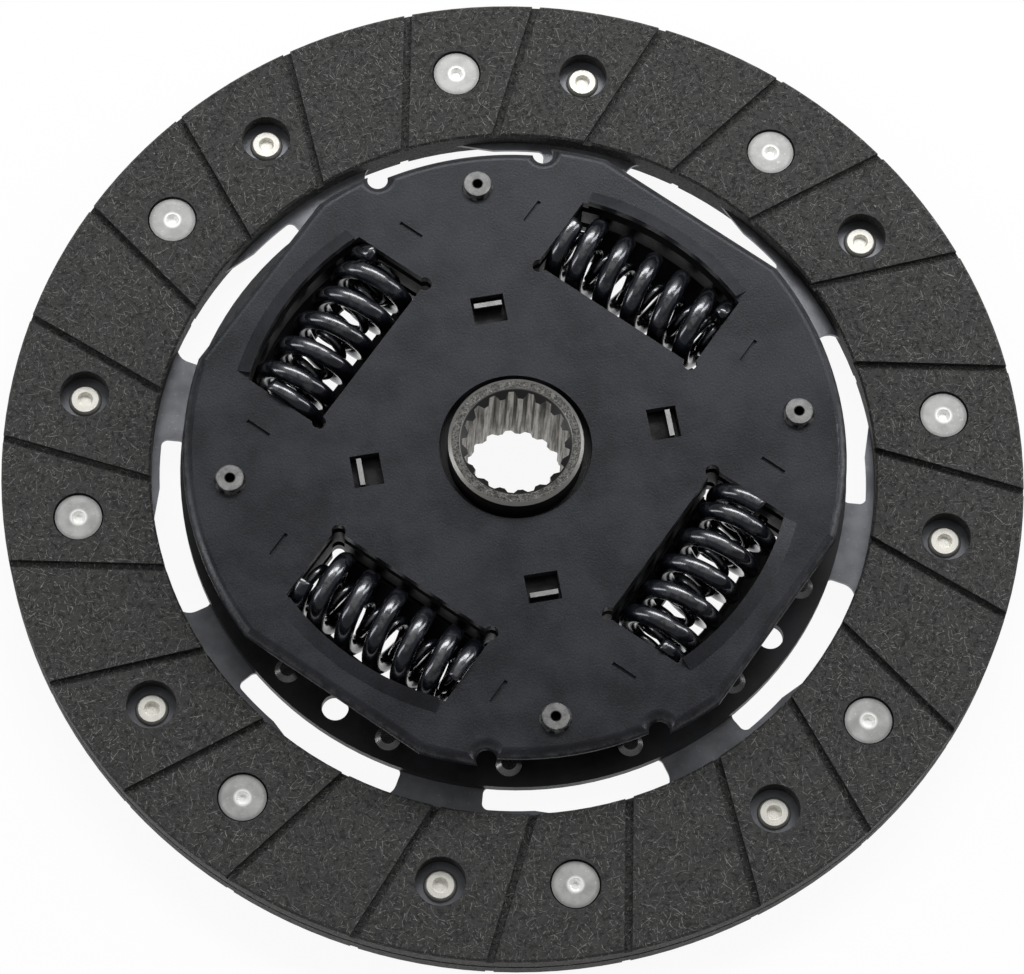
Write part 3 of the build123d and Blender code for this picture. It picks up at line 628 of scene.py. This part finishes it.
def floor_material():
    """White paper that stays white to the camera and still takes the disc's soft shadow."""
    shader = Shader("floor_white")
    tree = shader.tree
    shader.set(Base_Color=(0.86, 0.86, 0.86, 1.0), Roughness=0.9, Specular_IOR_Level=0.1)
    glow = shader.node("ShaderNodeEmission", {"Color": (1, 1, 1, 1), "Strength": 1.0})
    path = shader.node("ShaderNodeLightPath")
    seen = shader.math("MAXIMUM", path.outputs["Is Camera Ray"], path.outputs["Is Glossy Ray"])
    seen = shader.math("MAXIMUM", seen, path.outputs["Is Transmission Ray"])
    share = shader.math("MULTIPLY", seen, FLOOR_GLOW_SHARE)
    mixed = shader.node(
        "ShaderNodeMixShader", {0: share, 1: shader.bsdf.outputs[0], 2: glow.outputs[0]}
    )
    output = tree.nodes["Material Output"]
    tree.links.new(mixed.outputs[0], output.inputs["Surface"])
    return shader.material


def floor():
    """Wide white sheet under the hub's lower end."""
    level = cad_box[0][2]
    mesh = bpy.data.meshes.new("floor")
    corners = [
        (x * FLOOR_HALF_WIDTH, y * FLOOR_HALF_WIDTH, level)
        for x, y in ((-1, -1), (1, -1), (1, 1), (-1, 1))
    ]
    mesh.from_pydata(corners, [], [(0, 1, 2, 3)])
    mesh.materials.append(floor_material())
    sheet = bpy.data.objects.new("floor", mesh)
    bpy.context.scene.collection.objects.link(sheet)


def area_light(name, place, size, power):
    """White soft box at a place in metres, aimed at the disc; power is in watts."""
    lamp = bpy.data.lights.new(name, "AREA")
    lamp.shape = "RECTANGLE"
    lamp.size, lamp.size_y = size
    lamp.energy = power
    holder = bpy.data.objects.new(name, lamp)
    holder.location = place
    holder.rotation_euler = (-Vector(place)).to_track_quat("-Z", "Y").to_euler()
    bpy.context.scene.collection.objects.link(holder)


def lights():
    """Wide soft box behind the disc, tall soft boxes left and right, and a pale world."""
    world = bpy.data.worlds.new("studio")
    world.use_nodes = True
    background = world.node_tree.nodes["Background"]
    background.inputs["Color"].default_value = (1.0, 1.0, 1.0, 1.0)
    background.inputs["Strength"].default_value = WORLD_STRENGTH
    bpy.context.scene.world = world
    area_light("back", (0.18, 0.55, 0.62), (0.9, 0.25), 5.5)
    area_light("left", (-0.8, 0.15, 0.40), (0.2, 0.6), 2.6)
    area_light("right", (0.8, 0.10, 0.40), (0.2, 0.6), 3.0)


def camera():
    """Long lens from the near side, high above the disc, fitted to the rivet circles."""
    focal_pixels = 4639.85
    elevation = math.radians(69.03)
    bearing = math.radians(194.8)       # clockwise from +Y, where the camera stands
    roll = math.radians(4.786)
    distance = 0.8621
    axis_pixel = (514.16, 464.96)
    target = Vector((0, 0, 3.85 * MM))
    back = Vector(
        (
            math.cos(elevation) * math.sin(bearing),
            math.cos(elevation) * math.cos(bearing),
            math.sin(elevation),
        )
    )
    right = Vector((0, 0, 1)).cross(back).normalized()
    up = back.cross(right)
    data = bpy.data.cameras.new("camera")
    data.sensor_width = 36.0
    data.lens = focal_pixels * data.sensor_width / IMAGE_WIDTH
    data.shift_x = (IMAGE_WIDTH / 2 - axis_pixel[0]) / IMAGE_WIDTH
    data.shift_y = -(IMAGE_HEIGHT / 2 - axis_pixel[1]) / IMAGE_WIDTH
    data.clip_start = 0.05
    holder = bpy.data.objects.new("camera", data)
    turned = Matrix((right, up, back)).transposed().to_4x4() @ Matrix.Rotation(roll, 4, "Z")
    holder.matrix_world = Matrix.Translation(target + back * distance) @ turned
    bpy.context.scene.collection.objects.link(holder)
    bpy.context.scene.camera = holder


floor()
lights()
camera()
bpy.context.scene.view_settings.view_transform = "Standard"
